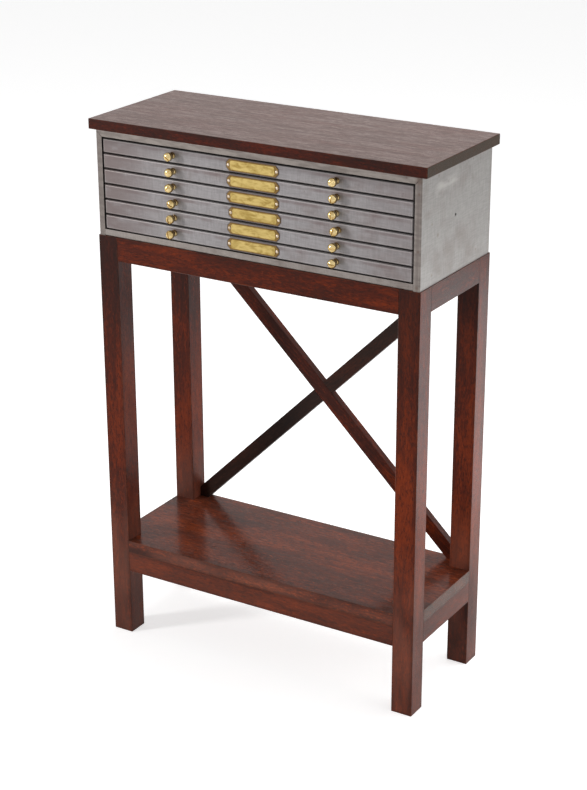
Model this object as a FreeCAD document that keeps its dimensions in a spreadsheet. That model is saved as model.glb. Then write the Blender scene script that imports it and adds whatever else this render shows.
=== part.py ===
import FreeCAD, Part

import os
import re

import Sketcher

# Type case cabinet: a six-drawer steel case under a wooden board, on an open wooden stand.
# Millimetres. +X runs to the right along the front, +Y to the back, +Z up.
# The origin is on the floor, under the middle of the whole cabinet with its knobs.

# ----------------------------------------------------------------------------------------
# Driving dimensions
# ----------------------------------------------------------------------------------------

SIZES = {
    # stand
    "stand_width": 610.7,
    "stand_depth": 243.8,
    "stand_height": 745.8,
    "leg_side": 38.1,
    "rail_thickness": 19.0,
    "upper_rail_height": 41.8,
    "lower_rail_height": 37.9,
    "shelf_top": 183.3,
    "shelf_thickness": 22.0,
    "tenon_length": 18.0,
    "tenon_thickness": 8.0,
    "tenon_shoulder": 6.0,
    "mortise_clearance": 0.2,
    "mortise_extra_depth": 1.0,
    "corner_ease": 1.5,
    "edge_ease": 0.6,
    "foot_chamfer": 0.5,
    # cross brace in the back opening
    "brace_width": 25.4,
    "brace_thickness": 14.5,
    "brace_rise": 7.0,
    "lap_clearance": 0.1,
    # steel case
    "case_side_inset": 1.7,
    "case_front_inset": 0.9,
    "case_height": 181.0,
    "case_gauge": 1.2,
    "case_bend": 2.5,
    "face_flange": 11.5,
    "back_flange": 12.0,
    "side_upstand": 9.0,
    "seam_gap": 0.4,
    "side_hole_radius": 2.1,
    "side_hole_forward": 5.5,
    "side_hole_height": 95.7,
    # top board
    "board_side_overhang": 10.85,
    "board_front_overhang": 5.15,
    "board_back_overhang": 3.15,
    "board_thickness": 17.5,
    "board_ease": 1.4,
    "board_corner": 1.0,
    "board_under_chamfer": 0.8,
    # drawers
    "drawer_count": 6,
    "top_gap": 2.25,
    "bottom_gap": 1.5,
    "drawer_gap": 2.05,
    "side_gap": 2.35,
    "front_depth": 5.0,
    "front_gauge": 1.2,
    "front_edge": 2.4,
    "tray_gauge": 1.0,
    "tray_bend": 1.0,
    "tray_fit": 0.3,
    "tray_drop": 6.0,
    "tray_headroom": 2.2,
    "tray_back_space": 10.0,
    "hem_height": 3.0,
    "hem_gauge": 1.0,
    # runner panels
    "runner_gauge": 1.2,
    "runner_bend": 2.0,
    "runner_foot": 12.0,
    "runner_clearance": 1.2,
    "runner_end_gap": 0.8,
    "ledge_width": 8.5,
    "ledge_clearance": 0.3,
    "ledge_end_gap": 3.0,
    "stop_drop": 4.0,
    "stop_length": 8.0,
    "stop_spare": 1.0,
    "drawer_travel": 165.0,
    # knobs
    "knob_spacing": 306.0,
    "knob_raise": 0.8,
    "stem_radius": 4.2,
    "stem_length": 6.4,
    "head_radius": 7.4,
    "head_rim_height": 13.4,
    "head_dome": 5.4,
    # label plates
    "plate_half_length": 48.2,
    "plate_half_height": 9.1,
    "plate_tab_half_height": 3.6,
    "plate_shoulder": 5.2,
    "plate_gauge": 0.7,
    "field_half_length": 42.0,
    "field_half_height": 7.8,
    "field_corner": 2.8,
    "field_rise": 0.8,
    "field_bevel": 0.5,
    # how far the knobs and plate of each drawer sit to the right of the middle, from the top
    "row_1_shift": 2.4,
    "row_2_shift": 3.2,
    "row_3_shift": 2.4,
    "row_4_shift": 5.8,
    "row_5_shift": 3.2,
    "row_6_shift": 2.5,
}

# Places and sizes that follow from the driving dimensions, as expressions.
LEG_IN_X = "(stand_width / 2 - leg_side)"
LEG_IN_Y = "(stand_depth / 2 - leg_side)"
UPPER_RAIL_LOW = "(stand_height - upper_rail_height)"
SHELF_LOW = "(shelf_top - shelf_thickness)"
LOWER_RAIL_LOW = f"({SHELF_LOW} - lower_rail_height)"
RAIL_LINE_Y = "(stand_depth / 2 - rail_thickness / 2)"
CASE_HALF_X = "(stand_width / 2 - case_side_inset)"
CASE_HALF_Y = "(stand_depth / 2 - case_front_inset)"
SIDE_INNER = f"({CASE_HALF_X} - case_gauge)"
OPENING_HALF = f"({CASE_HALF_X} - face_flange)"
OPENING_HEIGHT = "(case_height - 2 * face_flange)"
PITCH = f"(({OPENING_HEIGHT} - top_gap - bottom_gap + drawer_gap) / drawer_count)"
FRONT_HEIGHT = f"({PITCH} - drawer_gap)"
FRONT_HALF = f"({OPENING_HALF} - side_gap)"
FACE_Y = f"(-1 * {CASE_HALF_Y})"
BACK_PANEL_Y = f"({CASE_HALF_Y} - case_gauge)"
TRAY_HALF = f"({FRONT_HALF} - front_gauge - tray_fit)"
TRAY_FRONT_Y = f"({FACE_Y} + front_gauge)"
TRAY_BACK_Y = f"({BACK_PANEL_Y} - case_gauge - tray_back_space)"
TRAY_LIFT = "(front_gauge + tray_fit)"
TRAY_HEIGHT = f"({FRONT_HEIGHT} - tray_drop)"
TRAY_BACK_HEIGHT = f"({PITCH} - ledge_clearance - runner_gauge - tray_headroom)"
RUNNER_X = f"({TRAY_HALF} + runner_clearance)"
RUNNER_FRONT_Y = f"({FACE_Y} + case_gauge + runner_end_gap)"
RUNNER_BACK_Y = f"({BACK_PANEL_Y} - case_gauge - runner_end_gap)"
KNOB_HEIGHT = f"({FRONT_HEIGHT} / 2 + knob_raise)"
LOWEST_FRONT = "(stand_height + face_flange + bottom_gap)"
KNOB_REACH = "(head_rim_height + head_dome)"
STAND_SETBACK = f"(({KNOB_REACH} - board_back_overhang) / 2)"

# A point this close to a plane, in mm, lies on it; a line this nearly parallel runs along it.
ON_PLANE = 0.01
PARALLEL = 0.999

# How a sketch counts the points of a line, an arc or a circle.
LINE_START = 1
LINE_END = 2
CENTRE = 3

doc = FreeCAD.newDocument("type_case_cabinet")
finished = []


def make_sheet():
    """Put every driving dimension in the sheet, each cell under its own alias."""
    sheet = doc.addObject("Spreadsheet::Sheet", "dims")
    for row, (name, number) in enumerate(SIZES.items(), 1):
        sheet.set(f"A{row}", name)
        sheet.set(f"B{row}", str(number))
        sheet.setAlias(f"B{row}", name)
    doc.recompute()
    return sheet


sheet = make_sheet()


# ----------------------------------------------------------------------------------------
# Modelling helpers
# ----------------------------------------------------------------------------------------


def formula(text):
    """The expression with each size's name written as a cell of the sheet."""
    return re.sub(r"[a-z]\w*", lambda m: f"dims.{m[0]}" if m[0] in SIZES else m[0], str(text))


def value(text):
    """The number that an expression has now."""
    return float(sheet.evalExpression(formula(text)))


def bind(thing, prop, text):
    thing.setExpression(prop, formula(text))


def place(thing, x="0", y="0", z="0"):
    """Place a sub-part; y counts from the middle of the stand."""
    bind(thing, "Placement.Base.x", x)
    bind(thing, "Placement.Base.y", f"{y} + {STAND_SETBACK}")
    bind(thing, "Placement.Base.z", z)


def new_body(label, x="0", y="0", z="0"):
    body = doc.addObject("PartDesign::Body", label)
    body.Label = label
    place(body, x, y, z)
    return body


def new_sketch(body, role, lift="0"):
    """A sketch on one of the body's origin planes, moved along that plane's normal."""
    sketch = body.newObject("Sketcher::SketchObject", "Sketch")
    support = next(o for o in body.Origin.OriginFeatures if o.Role == role)
    sketch.AttachmentSupport = [(support, "")]
    sketch.MapMode = "FlatFace"
    bind(sketch, "AttachmentOffset.Base.z", lift)
    return sketch


def pin_point(sketch, geometry, vertex, x, y):
    """Tie one point of a sketch to two expressions."""
    for kind, text in (("DistanceX", x), ("DistanceY", y)):
        number = sketch.addConstraint(
            Sketcher.Constraint(kind, -1, 1, geometry, vertex, value(text))
        )
        bind(sketch, f"Constraints[{number}]", text)


def arc_between(start, end, radius):
    """The short arc that turns left from start to end."""
    chord = end - start
    left = FreeCAD.Vector(-chord.y, chord.x, 0).normalize()
    reach = max(radius ** 2 - (chord.Length / 2) ** 2, 0) ** 0.5
    centre = (start + end) / 2 + left * reach
    return Part.ArcOfCircle(start, centre - left * radius, end)


def draw_outline(sketch, points):
    """Closed outline. A point is (x, y), or (x, y, radius) where an arc leaves it."""
    first = sketch.GeometryCount
    count = len(points)
    spots = [FreeCAD.Vector(value(p[0]), value(p[1]), 0) for p in points]
    for i, point in enumerate(points):
        start, end = spots[i], spots[(i + 1) % count]
        if len(point) == 2:
            sketch.addGeometry(Part.LineSegment(start, end))
            continue
        radius = value(point[2])
        sketch.addGeometry(arc_between(start, end, radius))
        number = sketch.addConstraint(Sketcher.Constraint("Radius", first + i, radius))
        bind(sketch, f"Constraints[{number}]", point[2])
    for i in range(count):
        after = (i + 1) % count
        sketch.addConstraint(
            Sketcher.Constraint("Coincident", first + i, LINE_END, first + after, LINE_START)
        )
        pin_point(sketch, first + i, LINE_START, points[i][0], points[i][1])


def draw_rectangle(sketch, left, right, low, high):
    draw_outline(sketch, [(left, low), (right, low), (right, high), (left, high)])


def draw_circle(sketch, x, y, radius):
    number = sketch.addGeometry(
        Part.Circle(FreeCAD.Vector(value(x), value(y), 0), FreeCAD.Vector(0, 0, 1), value(radius))
    )
    rule = sketch.addConstraint(Sketcher.Constraint("Radius", number, value(radius)))
    bind(sketch, f"Constraints[{rule}]", radius)
    pin_point(sketch, number, CENTRE, x, y)


def volume(body):
    return body.Shape.Volume if body.Tip else 0.0


def extrude(body, kind, sketch, length, both_ways, backwards):
    before = volume(body)
    feature = body.newObject(kind, kind.split("::")[1])
    feature.Profile = sketch
    feature.SideType = "Symmetric" if both_ways else "One side"
    feature.Reversed = backwards
    bind(feature, "Length", length)
    doc.recompute()
    change = volume(body) - before
    if change <= 0 and kind.endswith("Pad") or change >= 0 and kind.endswith("Pocket"):
        raise RuntimeError(f"{body.Label}: {feature.Name} changed the volume by {change}")
    return feature


def pad(body, sketch, length, both_ways=False, backwards=False):
    return extrude(body, "PartDesign::Pad", sketch, length, both_ways, backwards)


def pocket(body, sketch, length, both_ways=False, backwards=False):
    return extrude(body, "PartDesign::Pocket", sketch, length, both_ways, backwards)


def pattern(body, feature, count, spacing):
    """Repeat a feature upwards, one spacing apart."""
    row = body.newObject("PartDesign::LinearPattern", "LinearPattern")
    row.Originals = [feature]
    axis = next(o for o in body.Origin.OriginFeatures if o.Role == "Z_Axis")
    row.Direction = (axis, [""])
    row.Mode = "Spacing"
    bind(row, "Offset", spacing)
    bind(row, "Occurrences", count)
    body.Tip = row
    doc.recompute()
    return row


def edges_where(shape, test):
    """Names of the edges whose two ends both pass the test."""
    names = []
    for number, edge in enumerate(shape.Edges, 1):
        if len(edge.Vertexes) == 2 and all(test(v.Point) for v in edge.Vertexes):
            names.append(f"Edge{number}")
    return names


def lines_where(shape, axis, test):
    """Names of the straight edges along one axis whose middle passes the test."""
    names = []
    for number, edge in enumerate(shape.Edges, 1):
        if len(edge.Vertexes) != 2 or edge.Curve.TypeId != "Part::GeomLine":
            continue
        along = edge.Vertexes[1].Point - edge.Vertexes[0].Point
        if abs(along[axis]) > PARALLEL * along.Length and test(edge.CenterOfMass):
            names.append(f"Edge{number}")
    return names


def near(number, text):
    return abs(number - value(text)) < ON_PLANE


def finish_edges(body, kind, names, prop, size):
    base = body.Tip
    feature = body.newObject(kind, kind.split("::")[1])
    feature.Base = (base, names)
    bind(feature, prop, size)
    doc.recompute()
    if not feature.isValid():
        raise RuntimeError(f"{body.Label}: {feature.Name} failed on {len(names)} edges")
    return feature


def fillet(body, names, radius):
    return finish_edges(body, "PartDesign::Fillet", names, "Radius", radius)


def chamfer(body, names, size):
    return finish_edges(body, "PartDesign::Chamfer", names, "Size", size)


def revolve(label, points):
    """A turned piece: a half outline in the XZ plane, turned about Z."""
    body = new_body(label)
    sketch = new_sketch(body, "XZ_Plane")
    draw_outline(sketch, points)
    turned = body.newObject("PartDesign::Revolution", "Revolution")
    turned.Profile = sketch
    turned.ReferenceAxis = (sketch, ["V_Axis"])
    turned.Angle = 360
    doc.recompute()
    return body


def keep_group(label, members):
    """One node of separate solids: each member is a body, its spot and its turn."""
    solids = []
    for source, spot, turn in members:
        x, y, z = [value(number) for number in spot]
        at = FreeCAD.Vector(x, y + value(STAND_SETBACK), z)
        solid = source.Shape.copy()
        solid.Placement = FreeCAD.Placement(at, turn)
        solids.append(solid)
    group = doc.addObject("Part::Feature", label)
    group.Label = label
    group.Shape = Part.makeCompound(solids)
    group.Placement = FreeCAD.Placement()
    return keep(group)


def keep(thing):
    finished.append(thing)
    return thing


# ----------------------------------------------------------------------------------------
# Stand
# ----------------------------------------------------------------------------------------


def cut_mortises(body, role, lift, backwards):
    """The upper and the lower mortise in one inner face of a leg."""
    line = "(-leg_side / 2 + rail_thickness / 2)"
    half = "(tenon_thickness / 2 + mortise_clearance)"
    for low, height in (
        (UPPER_RAIL_LOW, "upper_rail_height"),
        (LOWER_RAIL_LOW, "lower_rail_height"),
    ):
        sketch = new_sketch(body, role, lift)
        draw_rectangle(
            sketch,
            f"{line} - {half}",
            f"{line} + {half}",
            f"{low} + tenon_shoulder - mortise_clearance",
            f"{low} + {height} - tenon_shoulder + mortise_clearance",
        )
        pocket(body, sketch, "tenon_length + mortise_extra_depth", backwards=backwards)


def build_leg(label, side_x, side_y, quarter_turns):
    """A square leg. Its own +X and +Y faces take the rails; it is turned to its corner."""
    body = new_body(
        label,
        f"{side_x} * (stand_width - leg_side) / 2",
        f"{side_y} * (stand_depth - leg_side) / 2",
    )
    body.Placement.Rotation = FreeCAD.Rotation(FreeCAD.Vector(0, 0, 1), 90 * quarter_turns)
    sketch = new_sketch(body, "XY_Plane")
    draw_rectangle(sketch, "-leg_side / 2", "leg_side / 2", "-leg_side / 2", "leg_side / 2")
    block = pad(body, sketch, "stand_height")

    def is_corner(point):
        return near(abs(point.x), "leg_side / 2") and near(abs(point.y), "leg_side / 2")

    def outer_corner(point):
        return is_corner(point) and point.x < 0 and point.y < 0

    def other_corner(point):
        return is_corner(point) and not outer_corner(point)

    fillet(body, lines_where(block.Shape, 2, outer_corner), "corner_ease")
    chamfer(body, lines_where(body.Tip.Shape, 2, other_corner), "edge_ease")
    foot = edges_where(body.Tip.Shape, lambda p: near(p.z, "0"))
    chamfer(body, foot, "foot_chamfer")
    cut_mortises(body, "YZ_Plane", "leg_side / 2", False)
    cut_mortises(body, "XZ_Plane", "-leg_side / 2", True)
    return keep(body)


def build_rail(label, length, height, spot, across=False):
    """A rail with a stub tenon at each end, along X, or along Y when it runs across."""
    body = new_body(label, *spot)
    if across:
        body.Placement.Rotation = FreeCAD.Rotation(FreeCAD.Vector(0, 0, 1), 90)
    sketch = new_sketch(body, "YZ_Plane")
    draw_rectangle(sketch, "-rail_thickness / 2", "rail_thickness / 2", "0", height)
    bar = pad(body, sketch, length, both_ways=True)
    chamfer(body, lines_where(bar.Shape, 0, lambda p: near(p.z, "0")), "edge_ease")
    tenon = new_sketch(body, "YZ_Plane")
    draw_rectangle(
        tenon,
        "-tenon_thickness / 2",
        "tenon_thickness / 2",
        "tenon_shoulder",
        f"{height} - tenon_shoulder",
    )
    pad(body, tenon, f"{length} + 2 * tenon_length", both_ways=True)
    return keep(body)


def build_rails():
    across_x = f"(2 * {LEG_IN_X})"
    across_y = f"(2 * {LEG_IN_Y})"
    side_line = "(stand_width / 2 - rail_thickness / 2)"
    for level, low in (("upper", UPPER_RAIL_LOW), ("lower", LOWER_RAIL_LOW)):
        height = f"{level}_rail_height"
        for side, sign in (("front", "-1"), ("back", "1")):
            spot = ("0", f"{sign} * {RAIL_LINE_Y}", low)
            build_rail(f"{side}_{level}_rail", across_x, height, spot)
        for side, sign in (("left", "-1"), ("right", "1")):
            spot = (f"{sign} * {side_line}", "0", low)
            build_rail(f"{side}_{level}_rail", across_y, height, spot, across=True)


def build_shelf():
    """The lower shelf, notched round the legs and lying on the lower rails."""
    body = new_body("shelf_board", z=SHELF_LOW)
    sketch = new_sketch(body, "XY_Plane")
    out_x, out_y = "stand_width / 2", "stand_depth / 2"
    draw_outline(
        sketch,
        [
            (f"-{LEG_IN_X}", f"-{out_y}"), (LEG_IN_X, f"-{out_y}"),
            (LEG_IN_X, f"-{LEG_IN_Y}"), (out_x, f"-{LEG_IN_Y}"),
            (out_x, LEG_IN_Y), (LEG_IN_X, LEG_IN_Y),
            (LEG_IN_X, out_y), (f"-{LEG_IN_X}", out_y),
            (f"-{LEG_IN_X}", LEG_IN_Y), (f"-{out_x}", LEG_IN_Y),
            (f"-{out_x}", f"-{LEG_IN_Y}"), (f"-{LEG_IN_X}", f"-{LEG_IN_Y}"),
        ],
    )
    board = pad(body, sketch, "shelf_thickness")

    def outer_top(point):
        at_edge = near(abs(point.x), out_x) or near(abs(point.y), out_y)
        return at_edge and near(point.z, "shelf_thickness")

    chamfer(body, edges_where(board.Shape, outer_top), "edge_ease")
    keep(body)


def brace_angle(rise):
    return f"atan(({UPPER_RAIL_LOW} - shelf_top + {rise}) / (2 * {LEG_IN_X}))"


def brace_bar(name, slope, rise, width, ease):
    """A long bar whose centre line starts in a lower corner of the back opening."""
    body = new_body(name, f"-1 * {slope} * {LEG_IN_X}", "stand_depth / 2", "shelf_top")
    body.Placement.Rotation = FreeCAD.Rotation(FreeCAD.Vector(0, 1, 0), 1)
    angle = brace_angle(rise)
    bind(body, "Placement.Rotation.Angle", f"-1 * {slope} * {angle}")
    sketch = new_sketch(body, "YZ_Plane")
    draw_rectangle(sketch, "-brace_thickness", "0", f"-({width}) / 2", f"({width}) / 2")
    bar = pad(body, sketch, "4 * stand_width", both_ways=True)
    if ease:
        chamfer(body, lines_where(bar.Shape, 0, lambda p: True), "edge_ease")
    return body


def half_box(name, low_y, high_y):
    """The back opening between shelf, legs and upper rail, between two depths."""
    box = doc.addObject("Part::Box", name)
    bind(box, "Length", f"2 * {LEG_IN_X}")
    bind(box, "Width", f"{high_y} - ({low_y})")
    bind(box, "Height", f"{UPPER_RAIL_LOW} - shelf_top")
    place(box, f"-{LEG_IN_X}", low_y, "shelf_top")
    return box


def boolean(kind, name, base, tool):
    result = doc.addObject(kind, name)
    result.Label = name
    result.Base = base
    result.Tool = tool
    doc.recompute()
    return result


def build_braces():
    """Two bars from corner to corner of the back opening, halved where they cross."""
    face = "(stand_depth / 2 - brace_thickness)"
    middle = f"({face} + brace_thickness / 2)"
    back = "(stand_depth / 2)"
    wide = "brace_width + 2 * lap_clearance"
    room = half_box("brace_room", face, back)
    front_half = half_box("brace_front_half", face, f"{middle} + lap_clearance / 2")
    back_half = half_box("brace_back_half", f"{middle} - lap_clearance / 2", back)
    for name, slope, rise, other_rise, lap_half in (
        ("brace_rising", "1", "brace_rise", "0", front_half),
        ("brace_falling", "-1", "0", "brace_rise", back_half),
    ):
        bar = brace_bar(f"{name}_bar", slope, rise, "brace_width", True)
        other = brace_bar(f"{name}_lap", f"-({slope})", other_rise, wide, False)
        lap = boolean("Part::Common", f"{name}_notch", other, lap_half)
        trimmed = boolean("Part::Common", f"{name}_trimmed", bar, room)
        keep(boolean("Part::Cut", name, trimmed, lap))


# ----------------------------------------------------------------------------------------
# Steel case and top board
# ----------------------------------------------------------------------------------------


def cut_window(body, half_width, flange, lift):
    """Open a wall of the case shell, leaving a flange at its sides and top."""
    sketch = new_sketch(body, "XZ_Plane", lift)
    top = f"case_height - {flange}"
    draw_rectangle(sketch, f"-{half_width}", half_width, "-case_gauge", top)
    pocket(body, sketch, "4 * case_gauge", both_ways=True)


def build_case_shell():
    """Top and sides folded from one sheet, with flanges turned in at front and back."""
    body = new_body("case_shell", z="stand_height")
    outside = new_sketch(body, "XY_Plane")
    draw_rectangle(outside, f"-{CASE_HALF_X}", CASE_HALF_X, f"-{CASE_HALF_Y}", CASE_HALF_Y)
    block = pad(body, outside, "case_height")
    upright = lines_where(block.Shape, 2, lambda p: True)
    top = edges_where(block.Shape, lambda p: near(p.z, "case_height"))
    fillet(body, upright + top, "case_bend")
    inside = new_sketch(body, "XY_Plane")
    draw_rectangle(inside, f"-{SIDE_INNER}", SIDE_INNER, f"-{BACK_PANEL_Y}", BACK_PANEL_Y)
    pocket(body, inside, "case_height - case_gauge", backwards=True)
    cut_window(body, OPENING_HALF, "face_flange", CASE_HALF_Y)
    cut_window(body, f"({CASE_HALF_X} - back_flange)", "back_flange", f"-{CASE_HALF_Y}")
    cut_mitres(body)
    hole = new_sketch(body, "YZ_Plane")
    draw_circle(hole, "-side_hole_forward", "side_hole_height", "side_hole_radius")
    pocket(body, hole, "2 * stand_width", both_ways=True)
    keep(body)


def cut_mitres(body):
    """The open mitre between the top flange and each side flange of the face."""
    sketch = new_sketch(body, "XZ_Plane", CASE_HALF_Y)
    low = "(case_height - face_flange)"
    reach = "(face_flange - case_bend)"
    for sign in ("-1", "1"):
        inner = f"{sign} * {OPENING_HALF}"
        outer = f"{sign} * ({OPENING_HALF} + {reach})"
        wide = f"{sign} * seam_gap"
        draw_outline(
            sketch,
            [
                (inner, f"{low} - seam_gap"), (f"{inner} + {wide}", f"{low} - seam_gap"),
                (f"{outer} + {wide}", f"{low} + {reach} - seam_gap"),
                (outer, f"{low} + {reach}"), (inner, low),
            ],
        )
    pocket(body, sketch, "4 * case_gauge", both_ways=True)


def build_case_bottom():
    """The floor sheet. Its front upstand is the lower flange of the face."""
    body = new_body("case_bottom", z="stand_height")
    front_half = f"({OPENING_HALF} - seam_gap)"
    back_half = f"({CASE_HALF_X} - back_flange - seam_gap)"
    out_y, in_y = CASE_HALF_Y, f"({BACK_PANEL_Y} - seam_gap)"
    floor = new_sketch(body, "XY_Plane")
    draw_outline(
        floor,
        [
            (f"-{front_half}", f"-{out_y}"), (front_half, f"-{out_y}"),
            (front_half, f"-{in_y}"), (SIDE_INNER, f"-{in_y}"),
            (SIDE_INNER, in_y), (back_half, in_y),
            (back_half, out_y), (f"-{back_half}", out_y),
            (f"-{back_half}", in_y), (f"-{SIDE_INNER}", in_y),
            (f"-{SIDE_INNER}", f"-{in_y}"), (f"-{front_half}", f"-{in_y}"),
        ],
    )
    pad(body, floor, "case_gauge")
    front = new_sketch(body, "XY_Plane")
    draw_rectangle(front, f"-{front_half}", front_half, f"-{out_y}", f"-{out_y} + case_gauge")
    pad(body, front, "face_flange")
    back = new_sketch(body, "XY_Plane")
    draw_rectangle(back, f"-{back_half}", back_half, f"{out_y} - case_gauge", out_y)
    pad(body, back, "back_flange")
    side_y = f"({BACK_PANEL_Y} - case_gauge - runner_end_gap)"
    for sign in ("-1", "1"):
        side = new_sketch(body, "XY_Plane")
        inner = f"{sign} * ({SIDE_INNER} - case_gauge)"
        draw_rectangle(side, inner, f"{sign} * {SIDE_INNER}", f"-{side_y}", side_y)
        pad(body, side, "side_upstand")
    folds = lines_where(
        body.Tip.Shape, 0, lambda p: near(p.z, "0") and near(abs(p.y), out_y)
    )
    fillet(body, folds, "case_bend")
    keep(body)


def build_case_back():
    """A flat sheet inside the back flanges."""
    body = new_body("case_back", y=BACK_PANEL_Y, z="stand_height")
    sketch = new_sketch(body, "XZ_Plane")
    half = f"({SIDE_INNER} - seam_gap)"
    low = "(case_gauge + seam_gap)"
    draw_rectangle(sketch, f"-{half}", half, low, f"case_height - {low}")
    pad(body, sketch, "case_gauge")
    keep(body)


def build_runner_panel(label, side):
    """A panel stood off the case side, with a ledge under each tray and one above."""
    body = new_body(label, z="stand_height")
    panel = new_sketch(body, "XY_Plane", "side_upstand + case_gauge + runner_end_gap")
    face = f"{side} * {RUNNER_X}"
    rear = f"{side} * ({RUNNER_X} + runner_gauge)"
    wall = f"{side} * {SIDE_INNER}"
    foot = f"{side} * ({SIDE_INNER} - runner_gauge)"
    start, stop = RUNNER_FRONT_Y, RUNNER_BACK_Y
    web_start, web_stop = f"({start} + runner_foot)", f"({stop} - runner_foot)"
    draw_outline(
        panel,
        [
            (wall, start), (wall, web_start), (rear, web_start), (rear, web_stop),
            (wall, web_stop), (wall, stop), (foot, stop),
            (foot, f"{web_stop} + runner_gauge"), (face, f"{web_stop} + runner_gauge"),
            (face, f"{web_start} - runner_gauge"), (foot, f"{web_start} - runner_gauge"),
            (foot, start),
        ],
    )
    top = "(case_height - case_gauge - runner_end_gap)"
    low = "(side_upstand + case_gauge + runner_end_gap)"
    block = pad(body, panel, f"{top} - {low}")
    outside = [(wall, web_start), (wall, web_stop)]
    outside += [(face, f"{web_start} - runner_gauge"), (face, f"{web_stop} + runner_gauge")]

    def is_bend(point):
        return any(near(point.x, x) and near(point.y, y) for x, y in outside)

    fillet(body, lines_where(block.Shape, 2, is_bend), "runner_bend")
    ledge_top = f"(face_flange + bottom_gap + {TRAY_LIFT} - ledge_clearance)"
    tip = f"{side} * ({RUNNER_X} - ledge_width)"
    ledge = new_sketch(body, "XY_Plane", f"{ledge_top} - runner_gauge")
    draw_rectangle(
        ledge, tip, rear, f"{web_start} + ledge_end_gap", f"{web_stop} - ledge_end_gap"
    )
    shelf = pad(body, ledge, "runner_gauge")
    pattern(body, shelf, "drawer_count + 1", PITCH)
    lug = new_sketch(body, "XY_Plane", f"{ledge_top} + {PITCH} - runner_gauge - stop_drop")
    stop_y = f"({TRAY_BACK_Y} - tray_gauge - drawer_travel - stop_spare - stop_length)"
    inner = f"{side} * ({RUNNER_X} - ledge_width + runner_gauge)"
    draw_rectangle(lug, tip, inner, stop_y, f"{stop_y} + stop_length")
    tab = pad(body, lug, "stop_drop")
    pattern(body, tab, "drawer_count", PITCH)
    keep(body)


def build_top_board():
    body = new_body("top_board", z="stand_height + case_height")
    sketch = new_sketch(body, "XY_Plane")
    half = f"({CASE_HALF_X} + board_side_overhang)"
    front = f"(-1 * {CASE_HALF_Y} - board_front_overhang)"
    draw_rectangle(sketch, f"-{half}", half, front, f"{CASE_HALF_Y} + board_back_overhang")
    block = pad(body, sketch, "board_thickness")
    chamfer(body, lines_where(block.Shape, 2, lambda p: True), "board_corner")
    rim = edges_where(body.Tip.Shape, lambda p: near(p.z, "board_thickness"))
    fillet(body, rim, "board_ease")
    under = edges_where(body.Tip.Shape, lambda p: near(p.z, "0"))
    chamfer(body, under, "board_under_chamfer")
    keep(body)


# ----------------------------------------------------------------------------------------
# Drawers
# ----------------------------------------------------------------------------------------


def build_front(label, bottom):
    """A shallow folded pan with mitred bends that caps the tray's front wall."""
    body = new_body(label, z=bottom)
    rear = f"{CASE_HALF_Y} - front_depth"
    sketch = new_sketch(body, "XZ_Plane", rear)
    draw_rectangle(sketch, f"-{FRONT_HALF}", FRONT_HALF, "0", FRONT_HEIGHT)
    block = pad(body, sketch, "front_depth")
    fillet(body, edges_where(block.Shape, lambda p: near(p.y, FACE_Y)), "front_edge")
    inside = new_sketch(body, "XZ_Plane", rear)
    half = f"({FRONT_HALF} - front_gauge)"
    draw_rectangle(inside, f"-{half}", half, "front_gauge", f"{FRONT_HEIGHT} - front_gauge")
    pocket(body, inside, "front_depth - front_gauge", backwards=True)
    keep(body)


def inner_rectangle(sketch, edge):
    """The tray's outline in plan, drawn in from each side by one amount."""
    draw_rectangle(
        sketch,
        f"-{TRAY_HALF} + {edge}",
        f"{TRAY_HALF} - {edge}",
        f"{TRAY_FRONT_Y} + {edge}",
        f"{TRAY_BACK_Y} - {edge}",
    )


def build_tray(label, bottom):
    """The folded tray, hemmed along its top, with a higher back that meets the stops."""
    body = new_body(label, z=f"{bottom} + {TRAY_LIFT}")
    outside = new_sketch(body, "XY_Plane")
    inner_rectangle(outside, "0")
    block = pad(body, outside, TRAY_HEIGHT)
    chamfer(body, edges_where(block.Shape, lambda p: near(p.z, "0")), "tray_bend")
    inside = new_sketch(body, "XY_Plane", TRAY_HEIGHT)
    inner_rectangle(inside, "tray_gauge")
    pocket(body, inside, f"{TRAY_HEIGHT} - tray_gauge")
    hem = new_sketch(body, "XY_Plane", f"{TRAY_HEIGHT} - hem_height")
    inner_rectangle(hem, "tray_gauge")
    inner_rectangle(hem, "(tray_gauge + hem_gauge)")
    pad(body, hem, "hem_height")
    back = new_sketch(body, "XY_Plane", f"{TRAY_HEIGHT} - hem_height")
    draw_rectangle(
        back, f"-{TRAY_HALF}", TRAY_HALF, f"{TRAY_BACK_Y} - tray_gauge", TRAY_BACK_Y
    )
    pad(body, back, f"{TRAY_BACK_HEIGHT} - {TRAY_HEIGHT} + hem_height")
    keep(body)


def build_plate(label, bottom, shift):
    """A label plate: a thin tabbed backing with a raised, bevelled field."""
    body = new_body(label, shift, FACE_Y, f"{bottom} + {FRONT_HEIGHT} / 2")
    backing = new_sketch(body, "XZ_Plane")
    long_x, neck_x = "plate_half_length", "(plate_half_length - plate_shoulder)"
    high, low = "plate_half_height", "plate_tab_half_height"
    draw_outline(
        backing,
        [
            (f"-{neck_x}", f"-{high}"), (neck_x, f"-{high}"), (long_x, f"-{low}"),
            (long_x, low), (neck_x, high), (f"-{neck_x}", high),
            (f"-{long_x}", low), (f"-{long_x}", f"-{low}"),
        ],
    )
    pad(body, backing, "plate_gauge")
    field = new_sketch(body, "XZ_Plane", "plate_gauge")
    end, cut_x = "field_half_length", "(field_half_length - field_corner)"
    side, cut_z = "field_half_height", "(field_half_height - field_corner)"
    draw_outline(
        field,
        [
            (f"-{cut_x}", f"-{side}"), (cut_x, f"-{side}"), (end, f"-{cut_z}"),
            (end, cut_z), (cut_x, side), (f"-{cut_x}", side),
            (f"-{end}", cut_z), (f"-{end}", f"-{cut_z}"),
        ],
    )
    raised = pad(body, field, "field_rise")
    rim = edges_where(raised.Shape, lambda p: near(p.y, "-(plate_gauge + field_rise)"))
    chamfer(body, rim, "field_bevel")
    keep(body)


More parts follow.
